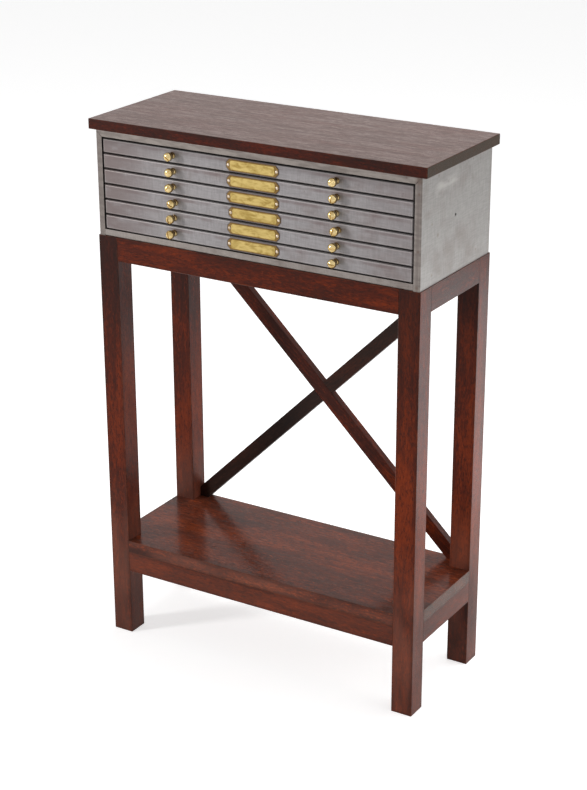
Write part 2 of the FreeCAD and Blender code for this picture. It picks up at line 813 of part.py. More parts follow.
def turned_knob():
    """A stem, a flared underside and a domed face, in one turning."""
    dome = "((head_radius ^ 2 + head_dome ^ 2) / (2 * head_dome))"
    return revolve(
        "knob_pattern",
        [
            ("0", "0"), ("stem_radius", "0"), ("stem_radius", "stem_length"),
            ("head_radius", "head_rim_height", dome), ("0", KNOB_REACH),
        ],
    )


def build_drawer(number, knob):
    """One drawer, counted from the top; its fittings sit off the middle by its own shift."""
    name = f"drawer_{number}"
    shift = f"row_{number}_shift" if f"row_{number}_shift" in SIZES else "0"
    bottom = f"({LOWEST_FRONT} + (drawer_count - {number}) * {PITCH})"
    build_tray(f"{name}_tray", bottom)
    build_front(f"{name}_front", bottom)
    build_plate(f"{name}_label_plate", bottom, shift)
    outward = FreeCAD.Rotation(FreeCAD.Vector(1, 0, 0), 90)
    height = f"{bottom} + {KNOB_HEIGHT}"
    members = [
        (knob, (f"{shift} + {sign} * knob_spacing / 2", FACE_Y, height), outward)
        for sign in ("-1", "1")
    ]
    keep_group(f"{name}_knobs", members)


def build_drawers():
    knob = turned_knob()
    for number in range(1, int(value("drawer_count")) + 1):
        build_drawer(number, knob)


# ----------------------------------------------------------------------------------------
# Assembly, checks and export
# ----------------------------------------------------------------------------------------


def check_document():
    """Stop on any object that failed, and on any empty or broken shape."""
    doc.recompute()
    for thing in doc.Objects:
        if "Invalid" in thing.State or "Error" in thing.State:
            raise RuntimeError(f"{thing.Label} failed: {thing.State}")
    for thing in finished:
        shape = thing.Shape
        if shape.isNull() or not shape.isValid() or not shape.Solids:
            raise RuntimeError(f"{thing.Label} has no valid solid")
        if shape.Volume <= 0:
            raise RuntimeError(f"{thing.Label} is inside out")


def export():
    os.makedirs("parts", exist_ok=True)
    for thing in finished:
        thing.Shape.exportStep(f"parts/{thing.Label}.step")
        print(f"{thing.Label}: {len(thing.Shape.Solids)} solid(s), {thing.Shape.Volume:.0f} mm3")


build_leg("front_left_leg", "-1", "-1", 0)
build_leg("front_right_leg", "1", "-1", 1)
build_leg("back_right_leg", "1", "1", 2)
build_leg("back_left_leg", "-1", "1", 3)
build_rails()
build_shelf()
build_braces()
build_case_shell()
build_case_bottom()
build_case_back()
build_runner_panel("left_runner_panel", "-1")
build_runner_panel("right_runner_panel", "1")
build_top_board()
build_drawers()
check_document()
export()
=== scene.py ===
import math
from collections import namedtuple

import bmesh
import bpy
from mathutils import Matrix, Vector


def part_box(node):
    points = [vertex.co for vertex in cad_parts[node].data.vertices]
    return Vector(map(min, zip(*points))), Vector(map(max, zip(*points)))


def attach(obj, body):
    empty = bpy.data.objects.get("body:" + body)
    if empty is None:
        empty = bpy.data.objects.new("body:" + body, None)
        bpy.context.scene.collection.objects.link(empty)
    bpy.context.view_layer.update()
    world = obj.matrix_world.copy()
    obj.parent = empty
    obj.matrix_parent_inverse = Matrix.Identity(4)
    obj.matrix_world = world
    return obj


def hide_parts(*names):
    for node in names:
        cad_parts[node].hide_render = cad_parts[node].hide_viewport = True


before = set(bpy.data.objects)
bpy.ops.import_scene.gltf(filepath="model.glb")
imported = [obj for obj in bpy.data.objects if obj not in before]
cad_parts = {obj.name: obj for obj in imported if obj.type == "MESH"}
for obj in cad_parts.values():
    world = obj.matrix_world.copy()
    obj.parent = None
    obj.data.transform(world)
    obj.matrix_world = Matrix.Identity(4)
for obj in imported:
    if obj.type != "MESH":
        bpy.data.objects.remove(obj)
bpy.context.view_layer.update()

MM = 0.001
DRAWERS = 6


def add_object(name, data):
    """A new object in the scene, at the origin."""
    item = bpy.data.objects.new(name, data)
    bpy.context.scene.collection.objects.link(item)
    return item


def mesh_of(shape, name):
    """Turn a finished bmesh into a mesh and free it."""
    mesh = bpy.data.meshes.new(name)
    shape.to_mesh(mesh)
    shape.free()
    return mesh


def piece_box(name):
    """The middle and the half size of a frame node."""
    low, high = (Vector(corner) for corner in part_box(name))
    return (low + high) / 2, (high - low) / 2


# ----------------------------------------------------------------------------------------
# Node helpers
# ----------------------------------------------------------------------------------------


def paint(red, green, blue):
    """A screen colour, 0 to 255, as the linear colour a shader takes."""

    def linear(value):
        share = value / 255.0
        return share / 12.92 if share <= 0.04045 else ((share + 0.055) / 1.055) ** 2.4

    return (linear(red), linear(green), linear(blue), 1.0)


def feed(tree, socket, value):
    """Puts a number, a colour or another node's output into a socket."""
    if isinstance(value, bpy.types.NodeSocket):
        tree.links.new(value, socket)
    else:
        socket.default_value = value


def calculate(tree, operation, first, second=0.0, third=0.0, clamp=False):
    node = tree.nodes.new("ShaderNodeMath")
    node.operation = operation
    node.use_clamp = clamp
    for socket, value in zip(node.inputs, (first, second, third)):
        feed(tree, socket, value)
    return node.outputs[0]


def times(tree, first, second, clamp=False):
    return calculate(tree, "MULTIPLY", first, second, clamp=clamp)


def less(tree, first, second):
    return calculate(tree, "SUBTRACT", first, second)


def added(tree, value, factor, base):
    """The base plus a factor's share of the value."""
    return calculate(tree, "MULTIPLY_ADD", value, factor, base)


def absolute(tree, value):
    return calculate(tree, "ABSOLUTE", value)


def between(tree, value, low, high):
    """0 at low, 1 at high, smooth between; it falls where low is the larger number."""
    node = tree.nodes.new("ShaderNodeMapRange")
    node.interpolation_type = "SMOOTHSTEP"
    feed(tree, node.inputs["Value"], value)
    feed(tree, node.inputs["From Min"], low)
    feed(tree, node.inputs["From Max"], high)
    return node.outputs["Result"]


def spread(tree, value, low, high):
    """Maps 0 to 1 onto low to high."""
    node = tree.nodes.new("ShaderNodeMapRange")
    feed(tree, node.inputs["Value"], value)
    node.inputs["To Min"].default_value = low
    node.inputs["To Max"].default_value = high
    return node.outputs["Result"]


def band(tree, value, low, high, soft):
    """1 from low to high, 0 outside them, with soft sides."""
    rise = between(tree, value, low - soft, low + soft)
    fall = between(tree, value, high + soft, high - soft)
    return times(tree, rise, fall)


def blend_colours(tree, share, first, second, how="MIX"):
    node = tree.nodes.new("ShaderNodeMix")
    node.data_type = "RGBA"
    node.blend_type = how
    feed(tree, node.inputs["Factor"], share)
    feed(tree, node.inputs[6], first)
    feed(tree, node.inputs[7], second)
    return node.outputs[2]


def toned(tree, colour, share, tint, strength=1.0):
    """Moves a colour towards a tint, by a share of 0 to 1 and a strength."""
    if strength != 1.0:
        share = times(tree, share, strength)
    return blend_colours(tree, share, colour, paint(*tint))


def colour_steps(tree, value, *steps):
    """A colour for each value, from pairs of a value and its colour."""
    node = tree.nodes.new("ShaderNodeValToRGB")
    marks = node.color_ramp.elements
    while len(marks) < len(steps):
        marks.new(0.5)
    for mark, (place, colour) in zip(marks, steps):
        mark.position = place
        mark.color = paint(*colour)
    feed(tree, node.inputs["Fac"], value)
    return node.outputs["Color"]


def object_place(tree):
    return tree.nodes.new("ShaderNodeTexCoord").outputs["Object"]


def shifted(tree, place, move=(0, 0, 0), turn=(0, 0, 0), scale=(1, 1, 1)):
    node = tree.nodes.new("ShaderNodeMapping")
    feed(tree, node.inputs["Vector"], place)
    node.inputs["Location"].default_value = move
    node.inputs["Rotation"].default_value = turn
    node.inputs["Scale"].default_value = scale
    return node.outputs["Vector"]


def axes(tree, place):
    node = tree.nodes.new("ShaderNodeSeparateXYZ")
    feed(tree, node.inputs[0], place)
    return node.outputs


def facing(tree):
    """The way the surface faces, as its share along X, Y and Z."""
    return axes(tree, tree.nodes.new("ShaderNodeNewGeometry").outputs["Normal"])


def cloud(tree, place, scale=1.0, detail=4.0, roughness=0.55, twist=0.0):
    """Smooth random values round 0.5; the scale is about the number of clouds in a metre."""
    node = tree.nodes.new("ShaderNodeTexNoise")
    feed(tree, node.inputs["Vector"], place)
    node.inputs["Scale"].default_value = scale
    node.inputs["Detail"].default_value = detail
    node.inputs["Roughness"].default_value = roughness
    node.inputs["Distortion"].default_value = twist
    return node.outputs["Fac"]


def drawn_cloud(tree, place, scale, move=(0, 0, 0), **look):
    """Clouds with a scale of their own along X, Y and Z."""
    return cloud(tree, shifted(tree, place, move=move, scale=scale), **look)


def bumps(tree, height, strength, distance):
    node = tree.nodes.new("ShaderNodeBump")
    feed(tree, node.inputs["Height"], height)
    node.inputs["Strength"].default_value = strength
    node.inputs["Distance"].default_value = distance
    return node.outputs["Normal"]


def new_finish(name):
    material = bpy.data.materials.new(name)
    material.use_nodes = True
    tree = material.node_tree
    return material, tree, tree.nodes["Principled BSDF"]


def from_faces(tree, place, middle, half):
    """How far each point lies inside a piece's faces, along X, Y and Z."""
    depths = []
    for value, centre, reach in zip(axes(tree, place), middle, half):
        depths.append(less(tree, reach, absolute(tree, less(tree, value, centre))))
    return depths


def arris_depth(tree, depths):
    """How far a point on a face lies from the piece's nearest edge."""
    first, second, third = depths
    low = calculate(tree, "MINIMUM", first, second)
    high = calculate(tree, "MAXIMUM", first, second)
    return calculate(tree, "MAXIMUM", low, calculate(tree, "MINIMUM", high, third))


def arris(tree, depths, width):
    """1 on the piece's edges and 0 further in than the width."""
    return between(tree, arris_depth(tree, depths), width, 0.0)


# ----------------------------------------------------------------------------------------
# Camera, floor and light
# ----------------------------------------------------------------------------------------

CAMERA_AT = Vector((1.57514, -2.56964, 1.66619))
CAMERA_LOOKS_AT = Vector((0.00323, 0.00783, 0.47622))
CAMERA_ROLL = math.radians(-0.194)
CAMERA_LENS = 86.6
SENSOR_WIDTH = 36.0

WHITE = (1.0, 1.0, 1.0, 1.0)
ROOM_LIGHT = 0.32
FLOOR_REACH = 12.0
PAPER = (0.8, 0.8, 0.8, 1.0)
PAPER_ROUGHNESS = 0.9
PAPER_GLOW = 0.62

# name, place, the spot it points at, width and height in metres, watts
DRAWERS_MIDDLE = (0.0, 0.0, 0.6)
UNDER_CASE = (0.3, -0.04, 0.36)
SOFTBOXES = (
    ("key_softbox", (-3.4, -3.4, 1.95), DRAWERS_MIDDLE, 0.68, 0.86, 116.0),
    ("side_softbox", (3.2, 0.6, 1.6), DRAWERS_MIDDLE, 2.2, 2.2, 30.0),
    ("top_softbox", (0.3, 1.2, 3.4), DRAWERS_MIDDLE, 2.4, 1.6, 45.0),
    ("low_softbox", (0.66, 0.56, 0.27), UNDER_CASE, 0.8, 0.5, 2.2),
)


def set_camera():
    lens = bpy.data.cameras.new("camera")
    lens.lens = CAMERA_LENS
    lens.sensor_width = SENSOR_WIDTH
    lens.sensor_fit = "AUTO"
    camera = add_object("camera", lens)
    aim = (CAMERA_LOOKS_AT - CAMERA_AT).to_track_quat("-Z", "Y").to_matrix().to_4x4()
    camera.matrix_world = (
        Matrix.Translation(CAMERA_AT) @ aim @ Matrix.Rotation(CAMERA_ROLL, 4, "Z")
    )
    bpy.context.scene.camera = camera


def seen_background(tree, plain, glow):
    """Shows one shader to light that bounces and another to the camera and to reflections."""
    path = tree.nodes.new("ShaderNodeLightPath")
    seen = path.outputs["Is Camera Ray"]
    for way in ("Is Glossy Ray", "Is Transmission Ray"):
        seen = calculate(tree, "MAXIMUM", seen, path.outputs[way])
    blend = tree.nodes.new("ShaderNodeMixShader")
    tree.links.new(seen, blend.inputs[0])
    tree.links.new(plain, blend.inputs[1])
    tree.links.new(glow, blend.inputs[2])
    return blend.outputs[0]


def lit(node, colour, strength):
    """Gives a background or an emission its colour and strength."""
    node.inputs["Color"].default_value = colour
    node.inputs["Strength"].default_value = strength
    return node.outputs[0]


def set_world():
    """A white room that lights the cabinet evenly and looks plain white."""
    world = bpy.data.worlds.new("studio")
    bpy.context.scene.world = world
    world.use_nodes = True
    tree = world.node_tree
    room = lit(tree.nodes["Background"], WHITE, ROOM_LIGHT)
    white = lit(tree.nodes.new("ShaderNodeBackground"), WHITE, 1.0)
    shown = seen_background(tree, room, white)
    tree.links.new(shown, tree.nodes["World Output"].inputs["Surface"])


def set_floor():
    """Pale paper that keeps the cabinet's shadow and glows only for the camera."""
    shape = bmesh.new()
    bmesh.ops.create_grid(shape, x_segments=1, y_segments=1, size=FLOOR_REACH)
    floor = add_object("floor", mesh_of(shape, "floor"))
    paper, tree, plain = new_finish("floor_paper")
    plain.inputs["Base Color"].default_value = PAPER
    plain.inputs["Roughness"].default_value = PAPER_ROUGHNESS
    glow = lit(tree.nodes.new("ShaderNodeEmission"), WHITE, PAPER_GLOW)
    both = tree.nodes.new("ShaderNodeAddShader")
    tree.links.new(plain.outputs[0], both.inputs[0])
    tree.links.new(glow, both.inputs[1])
    shown = seen_background(tree, plain.outputs[0], both.outputs[0])
    tree.links.new(shown, tree.nodes["Material Output"].inputs["Surface"])
    floor.data.materials.append(paper)


def set_lights():
    for name, at, looks_at, width, height, power in SOFTBOXES:
        lamp = bpy.data.lights.new(name, "AREA")
        lamp.shape = "RECTANGLE"
        lamp.size = width
        lamp.size_y = height
        lamp.energy = power
        softbox = add_object(name, lamp)
        softbox.location = at
        softbox.rotation_mode = "QUATERNION"
        softbox.rotation_quaternion = (Vector(looks_at) - Vector(at)).to_track_quat("-Z", "Y")
        softbox.visible_camera = False


# ----------------------------------------------------------------------------------------
# Stained mahogany
# ----------------------------------------------------------------------------------------

ALONG_X = (0.0, 0.0, 0.0)
ALONG_Y = (0.0, 0.0, math.radians(90.0))
ALONG_Z = (0.0, math.radians(90.0), 0.0)
BRACE_SLOPE = math.radians(40.0)

# the stain, what has come over it and a painted floor reflection, as screen colours
DARK_STAIN = (50, 20, 12)
STAIN = (92, 31, 11)
LIGHT_STAIN = (138, 52, 16)
# the colour that the legs' upper fronts and backs darken towards
OPEN_PORE = (24, 13, 10)
HIGH_DARK = (26, 12, 9)
# painted reflection of the pale floor on low upright faces
FLOOR_REFLECTION_TINT = (168, 122, 106)
RUBBED_EDGE = (150, 84, 52)
EDGE_GRIME = (30, 16, 12)
RAW_END = (56, 50, 38)
WAX_LINE = (74, 50, 45)
WORN_SPOT = (82, 58, 52)
PALE_SPOT = (158, 142, 137)

# the bloom of the wax on the varnish
SHEEN = 0.08
SHEEN_ROUGHNESS = 0.3
SHEEN_TINT = (1.0, 0.86, 0.82, 1.0)

# heights above the floor, and widths in from an edge, in metres
LEG_BLUSH = (0.22, 0.46)
LEG_BLUSH_SOFT = 0.10
# heights where the legs start and finish darkening towards the top
HIGH_DARK_FROM, HIGH_DARK_FULL = 0.48, 0.74
# heights where the painted floor reflection starts and is full
REFLECTION_TO, REFLECTION_FULL = 0.33, 0.19
RUB_WIDTH = 0.0022
GRIME_WIDTH = 0.0075
GRAIN_RELIEF = 0.00025

# one piece's grain: where it lies, and its patterns from the broadest to the finest
Grain = namedtuple("Grain", "along zones ribbons flames threads pores flecks")


def mahogany_grain(tree, place, turn, seed):
    """The figure of one board, drawn out along its grain."""
    along = shifted(tree, shifted(tree, place, turn=turn), move=seed)
    return Grain(
        along,
        zones=drawn_cloud(tree, along, (5.0, 16.0, 16.0), detail=2.0),
        ribbons=drawn_cloud(tree, along, (9.0, 90.0, 90.0), twist=0.5),
        flames=drawn_cloud(tree, along, (40.0, 210.0, 210.0), twist=1.0),
        threads=drawn_cloud(tree, along, (60.0, 700.0, 700.0), detail=3.0),
        pores=drawn_cloud(tree, along, (150.0, 2600.0, 2600.0), detail=1.0),
        flecks=drawn_cloud(tree, along, (120.0, 330.0, 330.0), roughness=0.75),
    )


def figure_tone(tree, grain, brightness):
    """How much light the figure gives back, round 0.5."""
    tone = times(tree, grain.zones, 0.5)
    tone = added(tree, grain.ribbons, 0.25, tone)
    tone = added(tree, grain.flames, 0.25, tone)
    return calculate(tree, "ADD", tone, brightness)


def stain(tree, grain, open_pores, tone, dark, body, light, mottled):
    """The stain over the figure, darker in the threads and pores, mottled by the flecks."""
    tone = between(tree, tone, 0.30, 0.70)
    colour = colour_steps(tree, tone, (0.0, dark), (0.5, body), (1.0, light))
    fine = between(tree, grain.threads, 0.3, 0.75)
    colour = toned(tree, colour, spread(tree, fine, 0.4, 0.0), dark)
    in_ribbons = between(tree, grain.ribbons, 0.35, 0.6)
    bright = times(tree, between(tree, grain.flecks, 0.52, 0.68), in_ribbons)
    colour = toned(tree, colour, bright, light, mottled)
    colour = toned(tree, colour, between(tree, grain.flecks, 0.48, 0.38), dark, mottled)
    return toned(tree, colour, open_pores, OPEN_PORE, 0.6)


def level_face(tree):
    """1 on faces that look straight up and 0 on upright ones."""
    return between(tree, facing(tree)[2], 0.75, 0.98)


def darker_high(tree, colour, place, strength):
    """Darker towards the top on the front and back faces of a leg."""
    high = between(tree, axes(tree, place)[2], HIGH_DARK_FROM, HIGH_DARK_FULL)
    across = between(tree, absolute(tree, facing(tree)[1]), 0.3, 0.8)
    return toned(tree, colour, times(tree, times(tree, high, strength), across), HIGH_DARK)


def painted_floor_reflection(tree, colour, place, grain, strength):
    """Painted reflection of the pale floor, in patches on upright faces near the floor."""
    low = between(tree, axes(tree, place)[2], REFLECTION_TO, REFLECTION_FULL)
    reflection_mask = times(tree, low, between(tree, grain.zones, 0.2, 0.6))
    upright = less(tree, 1.0, level_face(tree))
    return toned(tree, colour, times(tree, reflection_mask, upright), FLOOR_REFLECTION_TINT, strength)


def worn_edges(tree, colour, grain, depths):
    """Edges rubbed through to paler wood, with grime beside them."""
    rubbed = between(tree, grain.flames, 0.4, 0.7)
    rub = times(tree, arris(tree, depths, RUB_WIDTH), rubbed)
    colour = toned(tree, colour, rub, RUBBED_EDGE, 0.4)
    return toned(tree, colour, arris(tree, depths, GRIME_WIDTH), EDGE_GRIME, 0.3)


def raw_ends(tree, colour, strength):
    """Duller end grain on the left and right ends of a board."""
    ends = between(tree, absolute(tree, facing(tree)[0]), 0.7, 0.95)
    return toned(tree, colour, ends, RAW_END, strength)


def dusted_and_sheened(tree, colour, grain, share, tint):
    """A worn film of wax and dust on a level face, in streaks, dark lines and short dashes; on the
    board's top it also stands in for painted sheen.
    """
    streaks = drawn_cloud(tree, grain.along, (3.5, 80.0, 80.0), detail=7.0, roughness=0.75)
    wiped = spread(tree, between(tree, streaks, 0.38, 0.60), 0.72, 1.12)
    film = times(tree, times(tree, level_face(tree), share), wiped, clamp=True)
    broken = spread(tree, between(tree, grain.flecks, 0.40, 0.60), 0.74, 1.06)
    film = times(tree, film, broken, clamp=True)
    colour = toned(tree, colour, film, tint)
    lines = drawn_cloud(
        tree, grain.along, (8.0, 200.0, 200.0), move=(5, 5, 5), detail=5.0, roughness=0.7
    )
    lines = times(tree, between(tree, lines, 0.51, 0.61), times(tree, film, 0.65))
    colour = toned(tree, colour, lines, WAX_LINE)
    dashes = drawn_cloud(tree, grain.along, (45.0, 190.0, 190.0), move=(2, 8, 2), roughness=0.8)
    worn = times(tree, between(tree, dashes, 0.50, 0.62), film)
    colour = toned(tree, colour, worn, WORN_SPOT, 0.6)
    pale = times(tree, between(tree, dashes, 0.49, 0.38), film)
    return toned(tree, colour, pale, PALE_SPOT, 0.5)


def stained_wood(
    name, turn, seed, box=None, dark=DARK_STAIN, body=STAIN, light=LIGHT_STAIN,
    brightness=0.0, mottled=0.65, roughness=0.3, gloss=0.1,
    darkening=0.0, floor_reflection=0.0, end_grain=0.0, dust_and_sheen=0.0, dust_and_sheen_tint=None,
):
    """Mahogany under a red-brown stain and a wiped varnish; the grain runs along the piece."""
    material, tree, shader = new_finish(name)
    place = object_place(tree)
    grain = mahogany_grain(tree, place, turn, seed)
    open_pores = between(tree, grain.pores, 0.60, 0.68)
    tone = figure_tone(tree, grain, brightness)
    if darkening:
        blush = band(tree, axes(tree, place)[2], *LEG_BLUSH, soft=LEG_BLUSH_SOFT)
        tone = added(tree, blush, 0.07, tone)
    colour = stain(tree, grain, open_pores, tone, dark, body, light, mottled)
    # darker towards the top of a leg
    if darkening:
        colour = darker_high(tree, colour, place, darkening)
    # painted reflection of the pale floor near the bottom of upright faces
    if floor_reflection:
        colour = painted_floor_reflection(tree, colour, place, grain, floor_reflection)
    if box:
        colour = worn_edges(tree, colour, grain, from_faces(tree, place, *box))
    if end_grain:
        colour = raw_ends(tree, colour, end_grain)
    # dust film on level faces, which also stands in for painted sheen on the tops
    if dust_and_sheen:
        colour = dusted_and_sheened(tree, colour, grain, dust_and_sheen, dust_and_sheen_tint)
    feed(tree, shader.inputs["Base Color"], colour)
    rough = spread(tree, grain.ribbons, roughness - 0.06, roughness + 0.1)
    feed(tree, shader.inputs["Roughness"], rough)
    shader.inputs["Specular IOR Level"].default_value = gloss
    shader.inputs["Sheen Weight"].default_value = SHEEN
    shader.inputs["Sheen Roughness"].default_value = SHEEN_ROUGHNESS
    shader.inputs["Sheen Tint"].default_value = SHEEN_TINT
    relief = added(tree, open_pores, -0.7, grain.threads)
    feed(tree, shader.inputs["Normal"], bumps(tree, relief, 0.25, GRAIN_RELIEF))
    return material


# ----------------------------------------------------------------------------------------
# Bare sheet steel and brass
# ----------------------------------------------------------------------------------------

SHEET_METAL = 0.35
RUST_SPECK = (84, 62, 52)
BRUSH_RELIEF = 0.0003
BRASS_RELIEF = 0.0002


def steel_base(tree, seed, clean, brown, spots=0.4):
    """Colour, brown share and brush marks of scraped and waxed sheet steel."""
    place = shifted(tree, object_place(tree), move=seed)
    drift = drawn_cloud(tree, place, (5.0, 5.0, 16.0), detail=2.0)
    patches = cloud(tree, place, scale=26.0, detail=3.0, roughness=0.5, twist=0.4)
    weave = drawn_cloud(tree, place, (50.0, 50.0, 420.0), roughness=0.7)
    warp = drawn_cloud(tree, place, (330.0, 330.0, 50.0), roughness=0.7)
    tint = added(tree, patches, 0.5, times(tree, drift, 0.5))
    share = between(tree, tint, 0.48, 0.70)
    colour = blend_colours(tree, share, paint(*clean), paint(*brown))
    marks = added(tree, weave, 0.5, times(tree, warp, 0.5))
    brushed = spread(tree, between(tree, marks, 0.36, 0.64), 0.87, 1.13)
    colour = blend_colours(tree, 1.0, colour, brushed, "MULTIPLY")
    specks = between(tree, cloud(tree, place, scale=150.0, detail=3.0), 0.70, 0.76)
    return toned(tree, colour, specks, RUST_SPECK, spots), share, marks


def steel_shader(tree, shader, colour, share, marks, roughness, metal=SHEET_METAL):
    """Sheet steel is rougher where it is brown and along its brush marks."""
    feed(tree, shader.inputs["Base Color"], colour)
    shader.inputs["Metallic"].default_value = metal
    rough = added(tree, share, 0.08, roughness)
    feed(tree, shader.inputs["Roughness"], added(tree, marks, 0.08, rough))
    feed(tree, shader.inputs["Normal"], bumps(tree, marks, 0.10, BRUSH_RELIEF))


def bare_steel(name, seed, clean, brown, roughness=0.44, metal=SHEET_METAL, spots=0.4):
    """Plain steel for the runners, the trays, the bottom, the back and the fasteners."""
    material, tree, shader = new_finish(name)
    colour, share, marks = steel_base(tree, seed, clean, brown, spots)
    steel_shader(tree, shader, colour, share, marks, roughness, metal)
    return material


# the label plate's raised field, half its length and height, and the step down round it
FIELD_REACH, FIELD_RISE = 42.0 * MM, 7.8 * MM
FIELD_EDGE = 1.3 * MM
STEP_FROM, STEP_TO = 0.45 * MM, 0.7 * MM
FIELD_LINE = (138, 100, 44)
STEP_GRIME = (92, 66, 38)

# how far the front and the root of a knob's neck lie in front of the drawer's face
NECK_FRONT, NECK_ROOT, NECK_SOFT = 8.6 * MM, 0.6 * MM, 1.6 * MM
NECK_BROWN = (84, 54, 28)


def old_brass(name, seed, bright, dull, roughness, plate=None, neck=None):
    """Hand-rubbed brass: bright metal with dull yellow-brown cloudy marks."""
    material, tree, shader = new_finish(name)
    whole = object_place(tree)
    place = shifted(tree, whole, move=seed)
    marks = cloud(tree, shifted(tree, place, scale=(0.7, 1.0, 1.6)), scale=90.0, twist=0.6)
    fine = cloud(tree, place, scale=900.0, detail=2.0)
    share = between(tree, marks, 0.36, 0.72)
    colour = blend_colours(tree, share, paint(*bright), paint(*dull))
    if plate:
        colour = plate_grime(tree, colour, whole, *plate)
    if neck:
        colour = brown_neck(tree, colour, whole, neck)
    feed(tree, shader.inputs["Base Color"], colour)
    shader.inputs["Metallic"].default_value = 1.0
    feed(tree, shader.inputs["Roughness"], spread(tree, share, roughness, roughness + 0.12))
    feed(tree, shader.inputs["Normal"], bumps(tree, fine, 0.06, BRASS_RELIEF))
    return material


def plate_grime(tree, colour, place, middle, half):
    """A dull line round a label plate's raised field, and grime in the step down from it."""
    field = Vector((FIELD_REACH, half.y, FIELD_RISE))
    edge = arris(tree, from_faces(tree, place, middle, field), FIELD_EDGE)
    colour = toned(tree, colour, edge, FIELD_LINE, 0.45)
    front = middle.y - half.y
    low = between(tree, axes(tree, place)[1], front + STEP_FROM, front + STEP_TO)
    return toned(tree, colour, low, STEP_GRIME, 0.75)


def brown_neck(tree, colour, place, face):
    """Brown patina on a knob's neck, kept to its upper side as a painted dark reflection; the
    drawer's face lies at face along Y.
    """
    neck = band(tree, axes(tree, place)[1], face - NECK_FRONT, face - NECK_ROOT, soft=NECK_SOFT)
    # the upward side only: painted dark reflection over the patina
    upper = between(tree, facing(tree)[2], -0.15, 0.55)
    return toned(tree, colour, times(tree, neck, upper), NECK_BROWN, 0.8)


# a drawer front's tints, with painted shade and a painted highlight, as screen colours
FRONT_CLEAN = (142, 138, 139)
FRONT_BROWN = (128, 119, 118)
FRONT_SMUDGE = (98, 76, 75)
FRONT_END = (108, 94, 92)
BOARD_SHADE = (86, 78, 78)
# painted highlight along the eased edges of a front
PAINTED_EDGE_HIGHLIGHT = (184, 176, 172)
# grime and painted shade of the gaps round a drawer front
RIM_GRIME_AND_SHADE = (38, 32, 30)
# painted shade of the gap under the case's top lip
LIP_SHADE = (30, 25, 24)
PLATE_RIM = (64, 42, 32)

# distances in from a drawer front's edges
SMUDGE_BAND = (3.0 * MM, 8.0 * MM)
END_FROM, END_FULL = 140.0 * MM, 10.0 * MM
SHADE_FROM, SHADE_FULL = 18.0 * MM, 1.0 * MM
# where the painted edge highlight lies, in from the edges
HIGHLIGHT_BAND = (1.9 * MM, 2.8 * MM)
RIM_WIDTH = 1.9 * MM
LIP_FROM, LIP_FULL = 3.0 * MM, 1.2 * MM

# where a label plate's cut corners start, the way the cuts face, and the dark rim outside
CORNER_AT = (43.0 * MM, 9.1 * MM)
CORNER_FACES = (0.727, 0.687)
PLATE_RIM_FROM, PLATE_RIM_FULL = 2.8 * MM, 0.6 * MM


def plate_distance(tree, x, z, middle, half):
    """How far a point lies outside a label plate with cut corners."""
    out_x = absolute(tree, less(tree, x, middle.x))
    out_z = absolute(tree, less(tree, z, middle.z))
    offset = -CORNER_FACES[0] * CORNER_AT[0] - CORNER_FACES[1] * CORNER_AT[1]
    cut = added(tree, out_x, CORNER_FACES[0], offset)
    cut = added(tree, out_z, CORNER_FACES[1], cut)
    past_end = less(tree, out_x, half.x)
    past_side = less(tree, out_z, half.z)
    return calculate(tree, "MAXIMUM", cut, calculate(tree, "MAXIMUM", past_end, past_side))


def front_steel(number):
    """A drawer front: blue-grey middle, purple-brown smudges, and a dark rim round its plate."""
    material, tree, shader = new_finish(f"front_{number}_steel")
    seed = (number * 1.3, 0.4, 0.7)
    colour, share, marks = steel_base(tree, seed, FRONT_CLEAN, FRONT_BROWN)
    place = object_place(tree)
    x, _, z = axes(tree, place)
    middle, half = piece_box(f"drawer_{number}_front")
    smoke = drawn_cloud(tree, place, (18.0, 18.0, 50.0), move=(number, 0, 0))
    below_top = less(tree, middle.z + half.z, z)
    smudge = band(tree, below_top, *SMUDGE_BAND, soft=2.0 * MM)
    smudge = times(tree, smudge, between(tree, smoke, 0.40, 0.62))
    colour = toned(tree, colour, smudge, FRONT_SMUDGE, 0.55)
    from_left = less(tree, x, middle.x - half.x)
    from_right = less(tree, middle.x + half.x, x)
    # darker towards each end of the front, much more at the left end
    for from_end, strength in ((from_left, 0.85), (from_right, 0.25)):
        darkening = between(tree, smoke, 0.2, 0.5)
        end = times(tree, between(tree, from_end, END_FROM, END_FULL), darkening)
        colour = toned(tree, colour, end, FRONT_END, strength)
    under_board = number == 1
    if under_board:
        shade = between(tree, below_top, SHADE_FROM, SHADE_FULL)
        colour = toned(tree, colour, shade, BOARD_SHADE, 0.35)
    depths = from_faces(tree, place, middle, half)
    # painted highlight a little in from the front's edges
    line = band(tree, arris_depth(tree, depths), *HIGHLIGHT_BAND, soft=0.5 * MM)
    colour = toned(tree, colour, line, PAINTED_EDGE_HIGHLIGHT, 0.3)
    # grime and painted shade of the gaps at the front's edges
    colour = toned(tree, colour, arris(tree, depths, RIM_WIDTH), RIM_GRIME_AND_SHADE, 0.9)
    # painted shade of the gap under the case's lip, on the top drawer
    if under_board:
        lip_shade = between(tree, below_top, LIP_FROM, LIP_FULL)
        colour = toned(tree, colour, lip_shade, LIP_SHADE, 0.8)
    away = plate_distance(tree, x, z, *piece_box(f"drawer_{number}_label_plate"))
    rim = between(tree, away, PLATE_RIM_FROM, PLATE_RIM_FULL)
    colour = toned(tree, colour, rim, PLATE_RIM, 0.8)
    steel_shader(tree, shader, colour, share, marks, 0.40)
    return material


# the case's tints, with a painted dent highlight and back-edge shade, as screen colours
CASE_CLEAN = (143, 140, 137)
CASE_BROWN = (133, 127, 123)
FLANGE_CLEAN = (140, 130, 123)
FLANGE_BROWN = (108, 97, 91)
FLANGE_STRIPE = (96, 84, 80)
FLANGE_SHADE = (92, 82, 78)
FLANGE_MARK = (92, 70, 58)
SIDE_MARK = (112, 92, 78)
